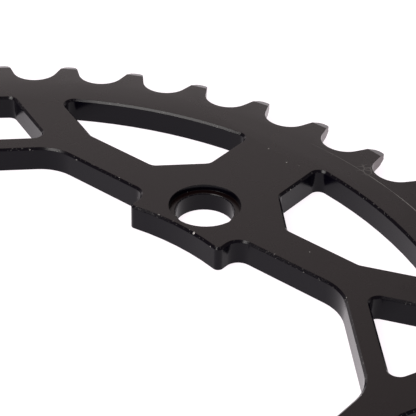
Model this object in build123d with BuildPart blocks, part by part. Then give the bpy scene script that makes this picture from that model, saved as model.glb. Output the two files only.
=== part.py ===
from build123d import *

import os
from math import asin, atan2, cos, degrees, hypot, isclose, radians, sin, sqrt, tan

# Driving dimensions of a one-piece aluminium bicycle chainring, in millimetres and degrees.
# The ring lies on its back face at z = 0, with its axis on +Z and one of its bolts on +Y.

# Chain and teeth
tooth_count = 42
chain_pitch = 12.7
seat_radius = 4.2
flank_angle = 17.0
tip_height = 2.93
tip_corner = 0.5
tooth_clock = 0.55

# Section of the plate and the tooth zone
plate_thickness = 4.5
tooth_zone_inset = 1.35
face_taper = 4.0
tip_bevel_width = 2.0
tip_bevel_angle = 22.5
tooth_thickness = 2.1
relief_inset = 1.1
relief_angle = 45.0

# Bolts and their tabs
bolt_count = 4
bolt_circle = 104.0
bolt_hole = 10.1
counterbore = 12.4
counterbore_depth = 1.1
bolt_hole_chamfer = 0.15
boss_radius = 13.15
tab_reach = 7.45
tab_width = 19.9
tab_corner_round = 1.0
tab_root_round = 2.5

# Truss between the bolts and the rim
rim_width = 6.55
strip_inset = 3.7
strip_width = 7.4
tie_step = 8.15
tie_width = 3.8
bar_width = 7.5
bar_gap = 9.0
web_width = 15.8
opening_round = 8.0
window_round = 1.6

# Bevelled edges of the front face
face_chamfer = 0.4

# Angles and radii that follow from these
first_bolt = 90
half_step = 180 / bolt_count
tooth_step = 360 / tooth_count
first_gap = first_bolt + tooth_clock + tooth_step / 2
bolt_radius = bolt_circle / 2
tab_radius = bolt_radius - tab_reach
pitch_radius = chain_pitch / 2 / sin(radians(tooth_step / 2))
tip_radius = pitch_radius + tip_height
root_radius = pitch_radius - seat_radius
window_radius = root_radius - rim_width
strip_inner = bolt_radius - strip_inset
strip_outer = strip_inner + strip_width
tie_inner = strip_inner + tie_step
tie_outer = tie_inner + tie_width


def direction(angle):
    return Vector(cos(radians(angle)), sin(radians(angle)))


def mirrored(point):
    return Vector(-point.X, point.Y)


def crossing(apothem_a, apothem_b):
    """The X of the point where a strip line at apothem a, on +Y, meets a tie line at apothem b."""
    return (apothem_b - apothem_a * cos(radians(half_step))) / sin(radians(half_step))


class Side:
    """A straight side of a bar: its direction, and its distance from the ring's axis."""

    def __init__(self, angle, distance):
        self.along = direction(angle)
        self.foot = direction(angle + 90) * distance
        self.distance = distance

    def at_height(self, height):
        return self.foot + self.along * ((height - self.foot.Y) / self.along.Y)

    def at_radius(self, radius):
        return self.foot + self.along * sqrt(radius**2 - self.distance**2)


# A bar runs from the crossing of a strip's and a tie's centre lines out to the rim, where its lower side
# ends half a gap short of the line midway between two bolts.
strip_middle = strip_inner + strip_width / 2
tie_middle = tie_inner + tie_width / 2
bar_node = Vector(crossing(strip_middle, tie_middle), strip_middle)
bar_end = Vector(-bar_gap / 2, sqrt(window_radius**2 - (bar_gap / 2) ** 2)).rotate(Axis.Z, -half_step)
bar_run = bar_end - bar_node
bar_angle = degrees(atan2(bar_run.Y, bar_run.X) + asin(bar_width / 2 / bar_run.length))
bar_distance = bar_node.dot(direction(bar_angle + 90))

# Turned section of the blank, from the axis out to the tooth tips: the front tapers over the teeth,
# the back is relieved behind them, and both faces are bevelled at the tips.
taper_radius = root_radius - tooth_zone_inset
bevel_radius = tip_radius - tip_bevel_width
bevel_drop = tip_bevel_width * tan(radians(tip_bevel_angle))
tooth_front = plate_thickness - (bevel_radius - taper_radius) * tan(radians(face_taper))
tooth_back = tooth_front - tooth_thickness
relief_outer = root_radius - relief_inset
relief_inner = relief_outer - tooth_back / tan(radians(relief_angle))

with BuildSketch(Plane.XZ) as blank_section:
    with BuildLine():
        Polyline(
            (0, 0),
            (relief_inner, 0),
            (relief_outer, tooth_back),
            (bevel_radius, tooth_back),
            (tip_radius, tooth_back + bevel_drop),
            (tip_radius, tooth_front - bevel_drop),
            (bevel_radius, tooth_front),
            (taper_radius, plate_thickness),
            (0, plate_thickness),
            close=True,
        )
    make_face()

# Gap between two teeth, seen with +X outwards: a round roller seat and straight flanks. Each corner of
# a tooth's tip is cut back by a third of the tip's land at most.
flank_lean = flank_angle + tooth_step / 2
seat_end = direction(flank_lean + 90) * seat_radius


def flank_at(reach):
    """The point of a gap's flank that lies this far outside the pitch circle."""
    return Vector(reach, seat_end.Y + (reach - seat_end.X) * tan(radians(flank_lean)))


flank_end = flank_at(tip_height + tip_corner)
tip_land = 2 * tip_radius * (radians(tooth_step / 2) - atan2(flank_at(tip_height).Y, tip_radius))
tip_cut = min(tip_corner, tip_land / 3)

with BuildSketch() as tooth_gap:
    with BuildLine():
        ThreePointArc((seat_end.X, seat_end.Y), (-seat_radius, 0), (seat_end.X, -seat_end.Y))
        Polyline(
            (seat_end.X, -seat_end.Y),
            (flank_end.X, -flank_end.Y),
            (flank_end.X, flank_end.Y),
            (seat_end.X, seat_end.Y),
        )
    make_face()

with BuildSketch() as toothed_disc:
    Circle(tip_radius)
    with PolarLocations(pitch_radius, tooth_count, start_angle=first_gap):
        add(tooth_gap.sketch, mode=Mode.SUBTRACT)
    tip_corners = toothed_disc.vertices().filter_by(
        lambda corner: isclose(hypot(corner.X, corner.Y), tip_radius, abs_tol=0.01)
    )
    chamfer(tip_corners, length=tip_cut)

# Central opening: straight strips and ties in turn, with a tab at each bolt that ends in a common arc.
corner_x = crossing(strip_inner, tie_inner)
tab_root_reach = hypot(tab_width / 2, strip_inner)

with BuildSketch() as opening:
    corners = [
        Vector(side * corner_x, strip_inner).rotate(Axis.Z, bolt * 2 * half_step)
        for bolt in range(bolt_count)
        for side in (1, -1)
    ]
    Polygon(*[(corner.X, corner.Y) for corner in corners], align=None)
    fillet(opening.vertices(), radius=opening_round)
    with PolarLocations(bolt_radius, bolt_count, start_angle=first_bolt):
        Rectangle(bolt_circle, tab_width, mode=Mode.SUBTRACT)
    Circle(tab_radius)
    tab_roots = opening.vertices().filter_by(
        lambda corner: isclose(hypot(corner.X, corner.Y), tab_root_reach, abs_tol=0.01)
    )
    fillet(tab_roots, radius=tab_root_round)
    tab_corners = opening.vertices().filter_by(
        lambda corner: isclose(hypot(corner.X, corner.Y), tab_radius, abs_tol=0.01)
    )
    fillet(tab_corners, radius=tab_corner_round)

# Window beside a bolt: web, sloping shoulder of the boss, strip, bar and rim. The round in the corner
# of bar and rim takes up half of the bar's side at most.
shoulder_sum = bolt_radius + boss_radius * sqrt(2)
bar_top = Side(bar_angle, bar_distance + bar_width / 2)
web_side = web_width / 2
web_rim = Vector(web_side, sqrt(window_radius**2 - web_side**2))
bar_rim = bar_top.at_radius(window_radius)
bar_strip = bar_top.at_height(strip_outer)
bar_side = bar_strip - bar_rim
rim_corner = bar_side.get_angle(Vector(-bar_rim.Y, bar_rim.X))
side_round = min(window_round, bar_side.length / 2 * tan(radians(rim_corner / 2)))

with BuildSketch() as side_window:
    with BuildLine():
        Polyline(
            web_rim,
            (web_side, shoulder_sum - web_side),
            (shoulder_sum - strip_outer, strip_outer),
            bar_strip,
            bar_rim,
        )
        ThreePointArc(bar_rim, (web_rim + bar_rim).normalized() * window_radius, web_rim)
    make_face()
    fillet(side_window.vertices(), radius=side_round)
    mirror(about=Plane.YZ)

# Window between two bolts, drawn on +Y: tie, a bar on each side, and rim.
bar_under = Side(bar_angle + half_step, bar_distance - bar_width / 2)
tie_end = bar_under.at_height(tie_outer)
tie_rim = bar_under.at_radius(window_radius)

with BuildSketch() as middle_window:
    with BuildLine():
        Polyline(tie_rim, tie_end, mirrored(tie_end), mirrored(tie_rim))
        ThreePointArc(mirrored(tie_rim), (0, window_radius), tie_rim)
    make_face()
    fillet(middle_window.vertices(), radius=window_round)

with BuildPart() as chainring:
    # Turned blank, cut to the tooth outline
    add(blank_section.sketch)
    revolve(axis=Axis.Z)
    extrude(toothed_disc.sketch, amount=plate_thickness, mode=Mode.INTERSECT)

    # Central opening and windows, milled right through
    with BuildSketch():
        add(opening.sketch)
        with PolarLocations(0, bolt_count):
            add(side_window.sketch)
        with PolarLocations(0, bolt_count, start_angle=half_step):
            add(middle_window.sketch)
    extrude(amount=plate_thickness, mode=Mode.SUBTRACT)

    # Bevelled edges of the front face
    front_face = chainring.faces().filter_by(Plane.XY).sort_by(Axis.Z)[-1]
    chamfer(front_face.inner_wires().edges(), length=face_chamfer)

    # Bolt holes, counterbored from the front
    with Locations(Plane.XY.offset(plate_thickness)):
        with PolarLocations(bolt_radius, bolt_count, start_angle=first_bolt):
            CounterBoreHole(bolt_hole / 2, counterbore / 2, counterbore_depth)
    hole_rims = chainring.edges().filter_by(GeomType.CIRCLE).filter_by(
        lambda rim: isclose(rim.radius, bolt_hole / 2)
    )
    chamfer(hole_rims.group_by(Axis.Z)[-1], length=bolt_hole_chamfer)

chainring.part.label = "chainring"
os.makedirs("parts", exist_ok=True)
export_step(chainring.part, "parts/chainring.step")
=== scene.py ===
from math import cos, pi, radians, sin

import bmesh
import bpy
from mathutils import Matrix, Vector


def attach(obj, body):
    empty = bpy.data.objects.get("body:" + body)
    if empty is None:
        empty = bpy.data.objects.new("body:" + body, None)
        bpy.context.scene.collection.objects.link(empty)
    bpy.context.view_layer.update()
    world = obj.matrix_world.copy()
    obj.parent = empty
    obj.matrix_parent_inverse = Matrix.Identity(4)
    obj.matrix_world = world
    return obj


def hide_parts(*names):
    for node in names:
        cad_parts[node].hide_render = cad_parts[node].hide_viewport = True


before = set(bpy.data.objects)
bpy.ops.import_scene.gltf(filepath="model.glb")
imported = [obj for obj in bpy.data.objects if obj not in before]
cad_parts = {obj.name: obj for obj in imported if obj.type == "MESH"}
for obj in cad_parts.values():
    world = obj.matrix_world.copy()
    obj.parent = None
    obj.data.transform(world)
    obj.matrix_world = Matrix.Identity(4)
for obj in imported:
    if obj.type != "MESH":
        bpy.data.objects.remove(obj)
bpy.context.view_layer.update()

# Chainring: one plate of aluminium alloy, turned on a lathe, milled through and black anodised.
# It is a single piece with no fixings of its own: bolts through the tabs hold it to a crank.
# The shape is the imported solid's, with its loose triangles merged and its sharp edges softened.
merge_distance = 1e-6
flat_within = radians(0.2)
sharp_from = radians(18)
edge_softness = 0.00005
tip_softness = 0.0004
tip_zone_depth = 0.0034
rounding_steps = 3
plate_slot = 0
edge_slot = 1

ring_bmesh = bmesh.new()
ring_bmesh.from_mesh(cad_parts["chainring"].data)
bmesh.ops.remove_doubles(ring_bmesh, verts=ring_bmesh.verts, dist=merge_distance)
bmesh.ops.dissolve_limit(
    ring_bmesh,
    angle_limit=flat_within,
    verts=ring_bmesh.verts,
    edges=ring_bmesh.edges,
)

# Only points and faces are taken over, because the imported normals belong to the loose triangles
ring_bmesh.verts.index_update()
ring_points = [point.co.copy() for point in ring_bmesh.verts]
ring_faces = [[point.index for point in face.verts] for face in ring_bmesh.faces]
ring_bmesh.free()
ring_mesh = bpy.data.meshes.new("chainring_plate")
ring_mesh.from_pydata(ring_points, [], ring_faces)
ring_mesh.update()
tip_radius = max(point.xy.length for point in ring_points)

# Every sharp edge is softened a little, and the upright edges of the tooth tips are rounded more
ring_bmesh = bmesh.new()
ring_bmesh.from_mesh(ring_mesh)
softness = ring_bmesh.edges.layers.float.new("bevel_weight_edge")
for edge in ring_bmesh.edges:
    if edge.is_manifold and edge.calc_face_angle() > sharp_from:
        first, second = (end.co for end in edge.verts)
        upright = abs(first.z - second.z) > (first.xy - second.xy).length
        at_tip = (first.xy + second.xy).length / 2 > tip_radius - tip_zone_depth
        edge[softness] = 1.0 if upright and at_tip else edge_softness / tip_softness
ring_bmesh.to_mesh(ring_mesh)
ring_bmesh.free()
ring_mesh.shade_smooth()
for slot in (plate_slot, edge_slot):
    ring_mesh.materials.append(None)

ring = bpy.data.objects.new("chainring_plate", ring_mesh)
bpy.context.scene.collection.objects.link(ring)
rounding = ring.modifiers.new("rounded_edges", "BEVEL")
rounding.limit_method = "WEIGHT"
rounding.width = tip_softness
rounding.segments = rounding_steps
rounding.use_clamp_overlap = False
rounding.harden_normals = True
rounding.material = edge_slot
bpy.context.view_layer.update()
evaluated_ring = ring.evaluated_get(bpy.context.evaluated_depsgraph_get())
rounded_mesh = bpy.data.meshes.new_from_object(evaluated_ring)
ring.modifiers.remove(rounding)
ring.data = rounded_mesh


class FinishNodes:
    """The nodes of one finish, with where a point of the ring lies and how its surface faces.

    The rise is the height of the surface's normal: 1 on the front face, 0 on a wall, -1 on the back.
    The flatness is the rise without its sign.
    """

    def __init__(self, tree):
        self.tree = tree
        place = self.add("ShaderNodeTexCoord")
        self.position = place.outputs["Object"]
        axes = self.add("ShaderNodeSeparateXYZ")
        self.feed(axes.inputs[0], self.position)
        across = self.add("ShaderNodeCombineXYZ")
        self.feed(across.inputs["X"], axes.outputs["X"])
        self.feed(across.inputs["Y"], axes.outputs["Y"])
        reach = self.add("ShaderNodeVectorMath", operation="LENGTH")
        self.feed(reach.inputs[0], across.outputs[0])
        self.radius = reach.outputs["Value"]
        self.angle = self.calculate("ARCTAN2", axes.outputs["Y"], axes.outputs["X"])
        facing = self.add("ShaderNodeSeparateXYZ")
        self.feed(facing.inputs[0], place.outputs["Normal"])
        self.rise = facing.outputs["Z"]
        self.flatness = self.calculate("ABSOLUTE", self.rise)

    def add(self, kind, **settings):
        made = self.tree.nodes.new(kind)
        for setting, value in settings.items():
            setattr(made, setting, value)
        return made

    def feed(self, socket, value):
        """Join another node's output to a socket, or set the socket's own value."""
        if isinstance(value, bpy.types.NodeSocket):
            self.tree.links.new(value, socket)
        else:
            socket.default_value = value

    def calculate(self, operation, first, second=0):
        step = self.add("ShaderNodeMath", operation=operation)
        self.feed(step.inputs[0], first)
        self.feed(step.inputs[1], second)
        return step.outputs[0]

    def ramp(self, value, span, results):
        """The first result below the span, the second above it, and a smooth change within it."""
        step = self.add("ShaderNodeMapRange", interpolation_type="SMOOTHSTEP")
        self.feed(step.inputs["Value"], value)
        self.feed(step.inputs["From Min"], span[0])
        self.feed(step.inputs["From Max"], span[1])
        self.feed(step.inputs["To Min"], results[0])
        self.feed(step.inputs["To Max"], results[1])
        return step.outputs["Result"]

    def noise(self, scale, detail):
        texture = self.add("ShaderNodeTexNoise")
        self.feed(texture.inputs["Scale"], scale)
        self.feed(texture.inputs["Detail"], detail)
        self.feed(texture.inputs["Vector"], self.position)
        return texture.outputs["Fac"]

    def cells(self, scale, feature):
        texture = self.add("ShaderNodeTexVoronoi", feature=feature)
        self.feed(texture.inputs["Scale"], scale)
        self.feed(texture.inputs["Vector"], self.position)
        return texture.outputs["Distance"]

    def distance_to(self, spot):
        step = self.add("ShaderNodeVectorMath", operation="DISTANCE")
        self.feed(step.inputs[0], self.position)
        self.feed(step.inputs[1], spot)
        return step.outputs["Value"]

    def mix(self, share, first, second):
        step = self.add("ShaderNodeMix", data_type="RGBA")
        self.feed(step.inputs["Factor"], share)
        self.feed(step.inputs["A"], first)
        self.feed(step.inputs["B"], second)
        return step.outputs["Result"]


face_black = (0.0044, 0.0017, 0.0018, 1)
# The walls' darker, bluer black is painted shade and painted bluish reflection on the same coating.
wall_black_painted_shade = (0.0012, 0.0007, 0.0032, 1)
painted_wall_shade_to_face = (0.6, 0.98)
# A lighter, pinkish colour on the upright flanks near the tooth tips.
lighter_pinkish_flank = (0.11, 0.085, 0.088, 1)
flank_depth = 0.0059
flank_radius = tip_radius - flank_depth
flank_fade = 0.001
flank_to_face = (0.1, 0.4)


def coating_colour(finish):
    """Warm black on faces, a darker, bluer black on walls that is painted shade and painted bluish
    reflection, and lighter, pinkish upright flanks near the tooth tips.
    """
    black_share = finish.ramp(finish.flatness, painted_wall_shade_to_face, (0, 1))
    blacks_with_painted_wall_shade = finish.mix(black_share, wall_black_painted_shade, face_black)
    upright = finish.ramp(finish.flatness, flank_to_face, (1, 0))
    on_tooth = finish.ramp(finish.radius, (flank_radius, flank_radius + flank_fade), (0, 1))
    on_lighter_flank = finish.calculate("MULTIPLY", upright, on_tooth)
    return finish.mix(on_lighter_flank, blacks_with_painted_wall_shade, lighter_pinkish_flank)


face_roughness = 0.27
wall_roughness = 0.18
wall_to_face_gloss = (0.75, 0.98)
handling_scale = 90
handling_detail = 3
handling_span = (0.3, 0.7)
handling_change = 0.08


def coating_roughness(finish):
    """Blasted faces, smoother milled walls, and slow changes from handling."""
    by_facing = finish.ramp(finish.flatness, wall_to_face_gloss, (wall_roughness, face_roughness))
    handling = finish.noise(handling_scale, handling_detail)
    handled = finish.ramp(handling, handling_span, (1 - handling_change, 1 + handling_change))
    return finish.calculate("MULTIPLY", by_facing, handled)


fleck_scale = 210
fleck_span = (0.015, 0.035)
fleck_strength = 0.5


def flecks(finish):
    """Small flecks of bare metal, strewn over the whole ring."""
    return finish.ramp(finish.cells(fleck_scale, "F1"), fleck_span, (fleck_strength, 0))


worn_scale = 1100
worn_detail = 2
plate_wear = (0.97, 1.0)
edge_wear = (0.66, 0.78)


def worn_spots(finish, wear):
    """Spots worn bare where a fine noise passes the given span: hardly any on the plate, many on edges."""
    return finish.ramp(finish.noise(worn_scale, worn_detail), wear, (0, 1))


turned_zone_depth = 0.00848
turned_zone_radius = tip_radius - turned_zone_depth
# The line is drawn in bare-metal colour: partly a turned witness line, partly a painted highlight where
# the crease catches light.
line_half_width = 0.00008
line_core = 0.4 * line_half_width
line_strength = 0.4
line_arcs = 3
line_arc_middle = radians(60)
line_arc_span = (-0.1, 1.0)
line_break_scale = 260
line_break_detail = 3
line_break_span = (0.35, 0.6)
line_break_least = 0.35


def turned_line_and_painted_highlight(finish):
    """The fine line where the turned tooth zone starts, partly a witness line and partly a painted
    highlight on its crease, bright on three arcs and broken in places.
    """
    past_line = finish.calculate("SUBTRACT", finish.radius, turned_zone_radius)
    off_line = finish.calculate("ABSOLUTE", past_line)
    on_line = finish.ramp(off_line, (line_core, line_half_width), (1, 0))
    turn = finish.calculate("SUBTRACT", finish.angle, line_arc_middle)
    arcs = finish.calculate("COSINE", finish.calculate("MULTIPLY", turn, line_arcs))
    highlight_on_arc = finish.ramp(arcs, line_arc_span, (0, line_strength))
    breaks = finish.noise(line_break_scale, line_break_detail)
    unbroken = finish.ramp(breaks, line_break_span, (line_break_least, 1))
    return finish.calculate("MULTIPLY", finish.calculate("MULTIPLY", on_line, highlight_on_arc), unbroken)


chip_place = (0.00366, 0.04464, 0.0044)
chip_radius = 0.00026
chip_core = 0.6 * chip_radius


def edge_chip(finish):
    """One bright chip on the edge of a bolt tab."""
    return finish.ramp(finish.distance_to(chip_place), (chip_core, chip_radius), (1, 0))


scuff_place = (0.0146, 0.0792, 0.0045)
scuff_radius = 0.0024
scuff_core = 0.4 * scuff_radius
scuff_strength = 0.12
scratch_scale = 800
scratch_span = (0.03, 0.09)


def tooth_scuff(finish):
    """A faint scuff of fine crossing scratches at the root of one tooth."""
    near = finish.ramp(finish.distance_to(scuff_place), (scuff_core, scuff_radius), (scuff_strength, 0))
    scratches = finish.ramp(finish.cells(scratch_scale, "DISTANCE_TO_EDGE"), scratch_span, (1, 0))
    return finish.calculate("MULTIPLY", near, scratches)


chamfer_rise_from = (0.6, 0.68)
chamfer_rise_to = (0.74, 0.82)
chatter_scale = 2600
chatter_detail = 2
chatter_span = (0.6, 0.72)
chatter_strength = 0.13


def chamfer_chatter(finish):
    """Fine dots left by the tool on the front chamfers, which lean at 45 degrees."""
    steep_enough = finish.ramp(finish.rise, chamfer_rise_to, (1, 0))
    flat_enough = finish.ramp(finish.rise, chamfer_rise_from, (0, 1))
    on_chamfer = finish.calculate("MULTIPLY", flat_enough, steep_enough)
    dots = finish.ramp(finish.noise(chatter_scale, chatter_detail), chatter_span, (0, chatter_strength))
    return finish.calculate("MULTIPLY", on_chamfer, dots)


grain_scale = 3600
grain_detail = 3
turned_spacing = 0.00025
turned_fade = 0.0002
turned_height = 0.25
relief_strength = 0.25
relief_height = 0.00001


def surface_relief(finish):
    """Fine blasted grain all over, and turned rings on the tooth zone."""
    wave = finish.calculate("SINE", finish.calculate("MULTIPLY", finish.radius, 2 * pi / turned_spacing))
    zone_start = (turned_zone_radius, turned_zone_radius + turned_fade)
    rings = finish.calculate("MULTIPLY", wave, finish.ramp(finish.radius, zone_start, (0, turned_height)))
    relief = finish.calculate("ADD", finish.noise(grain_scale, grain_detail), rings)
    bump = finish.add("ShaderNodeBump")
    finish.feed(bump.inputs["Strength"], relief_strength)
    finish.feed(bump.inputs["Distance"], relief_height)
    finish.feed(bump.inputs["Height"], relief)
    return bump.outputs["Normal"]


coating_ior = 1.25
# This bare-metal colour also paints the crease highlight of the turned line.
bare_metal_and_highlight = (0.42, 0.41, 0.39, 1)


def anodised_finish(name, wear):
    """Black anodised aluminium, with the colour of bare metal where any of its marks shows; the turned
    line among them is partly a painted highlight.
    """
    material = bpy.data.materials.new(name)
    material.use_nodes = True
    finish = FinishNodes(material.node_tree)
    bare_and_highlight = flecks(finish)
    marks = (
        worn_spots(finish, wear),
        turned_line_and_painted_highlight(finish),
        edge_chip(finish),
        tooth_scuff(finish),
        chamfer_chatter(finish),
    )
    for mark in marks:
        bare_and_highlight = finish.calculate("MAXIMUM", bare_and_highlight, mark)
    shader = material.node_tree.nodes["Principled BSDF"]
    shader.inputs["IOR"].default_value = coating_ior
    finish.feed(shader.inputs["Base Color"], finish.mix(bare_and_highlight, coating_colour(finish), bare_metal_and_highlight))
    finish.feed(shader.inputs["Roughness"], coating_roughness(finish))
    finish.feed(shader.inputs["Normal"], surface_relief(finish))
    return material


ring.data.materials[plate_slot] = anodised_finish("black_anodised", plate_wear)
ring.data.materials[edge_slot] = anodised_finish("anodised_edge", edge_wear)

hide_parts("chainring")
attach(ring, "root")

# Floor: a plain sheet that gives off light of its own, as a light table does, so that it shows white
# with little shadow. The ring lies on it, and it is wide enough to fill the picture from any side.
floor_half = 4.0
floor_level = -0.00005
sheet_colour = (0.25, 0.24, 0.245, 1)
sheet_roughness = 0.9
sheet_light_colour = (1, 0.94, 0.98, 1)
sheet_light_strength = 0.92

floor_mesh = bpy.data.meshes.new("floor")
floor_mesh.from_pydata(
    [
        (-floor_half, -floor_half, floor_level),
        (floor_half, -floor_half, floor_level),
        (floor_half, floor_half, floor_level),
        (-floor_half, floor_half, floor_level),
    ],
    [],
    [(0, 1, 2, 3)],
)
floor = bpy.data.objects.new("floor", floor_mesh)
bpy.context.scene.collection.objects.link(floor)
white_sheet = bpy.data.materials.new("white_sheet")
white_sheet.use_nodes = True
sheet_shader = white_sheet.node_tree.nodes["Principled BSDF"]
sheet_shader.inputs["Base Color"].default_value = sheet_colour
sheet_shader.inputs["Roughness"].default_value = sheet_roughness
sheet_shader.inputs["Specular IOR Level"].default_value = 0
sheet_shader.inputs["Emission Color"].default_value = sheet_light_colour
sheet_shader.inputs["Emission Strength"].default_value = sheet_light_strength
floor_mesh.materials.append(white_sheet)

# Camera: a long lens, 30 cm from one bolt tab, looking down on it and on the teeth behind it.
# Its angles, distance and lens are fitted to the edges in the photo, which is 416 pixels wide.
view_azimuth = radians(38.782)
view_elevation = radians(35.087)
view_roll = radians(-1.244)
view_target = Vector((0.00093, 0.05169, 0.0045))
view_distance = 0.29523
view_nearest = 0.01
focal_length_px = 1738.3
image_side_px = 416
sensor_width_mm = 36

up = Vector((0, 0, 1))
back = Vector((
    sin(view_azimuth) * cos(view_elevation),
    -cos(view_azimuth) * cos(view_elevation),
    sin(view_elevation),
))
level_right = (-back).cross(up).normalized()
level_down = (-back).cross(level_right)
right = level_right * cos(view_roll) + level_down * sin(view_roll)
down = level_down * cos(view_roll) - level_right * sin(view_roll)
camera_data = bpy.data.cameras.new("camera")
camera_data.sensor_width = sensor_width_mm
camera_data.lens = sensor_width_mm * focal_length_px / image_side_px
camera_data.clip_start = view_nearest
camera = bpy.data.objects.new("camera", camera_data)
bpy.context.scene.collection.objects.link(camera)
camera.matrix_world = Matrix.LocRotScale(
    view_target + back * view_distance,
    Matrix((right, -down, back)).transposed(),
    None,
)
bpy.context.scene.camera = camera


# Light: a large soft box behind the ring, a smaller one high in front, and one overhead.
# A pale room, brighter near the horizon, fills in from all round.
def soft_box(name, direction, distance, width, height, power, colour):
    """A rectangular lamp at a distance from the point that the camera looks at, and facing that point."""
    light = bpy.data.lights.new(name, "AREA")
    light.shape = "RECTANGLE"
    light.size = width
    light.size_y = height
    light.energy = power
    light.color = colour
    lamp = bpy.data.objects.new(name, light)
    bpy.context.scene.collection.objects.link(lamp)
    facing = Vector(direction).normalized()
    lamp.matrix_world = Matrix.LocRotScale(
        view_target + facing * distance,
        facing.to_track_quat("Z", "Y"),
        None,
    )


soft_box(
    "back_soft_box",
    direction=(-0.72, 0.42, 0.53),
    distance=1.2,
    width=1.4,
    height=1.4,
    power=6.1,
    colour=(1.0, 0.92, 0.925),
)
soft_box(
    "front_soft_box",
    direction=(-0.15, -0.52, 0.84),
    distance=1.2,
    width=0.6,
    height=0.45,
    power=9.0,
    colour=(1.0, 0.97, 0.95),
)
soft_box(
    "overhead_soft_box",
    direction=(0.0, 0.0, 1.0),
    distance=1.5,
    width=0.9,
    height=0.9,
    power=4.0,
    colour=(1.0, 1.0, 1.0),
)

room_colour = (1.0, 0.94, 0.95, 1)
horizon_rise = 0.08
horizon_strength = 0.85
ceiling_rise = 0.5
ceiling_strength = 0.28

room = bpy.data.worlds.new("pale_room")
room.use_nodes = True
room_nodes = room.node_tree.nodes
room_links = room.node_tree.links
backdrop = room_nodes["Background"]
backdrop.inputs["Color"].default_value = room_colour
outlook = room_nodes.new("ShaderNodeTexCoord")
outlook_axes = room_nodes.new("ShaderNodeSeparateXYZ")
fade = room_nodes.new("ShaderNodeMapRange")
fade.interpolation_type = "SMOOTHSTEP"
fade.inputs["From Min"].default_value = horizon_rise
fade.inputs["From Max"].default_value = ceiling_rise
fade.inputs["To Min"].default_value = horizon_strength
fade.inputs["To Max"].default_value = ceiling_strength
room_links.new(outlook.outputs["Generated"], outlook_axes.inputs[0])
room_links.new(outlook_axes.outputs["Z"], fade.inputs["Value"])
room_links.new(fade.outputs["Result"], backdrop.inputs["Strength"])
bpy.context.scene.world = room
bpy.context.scene.view_settings.view_transform = "Standard"
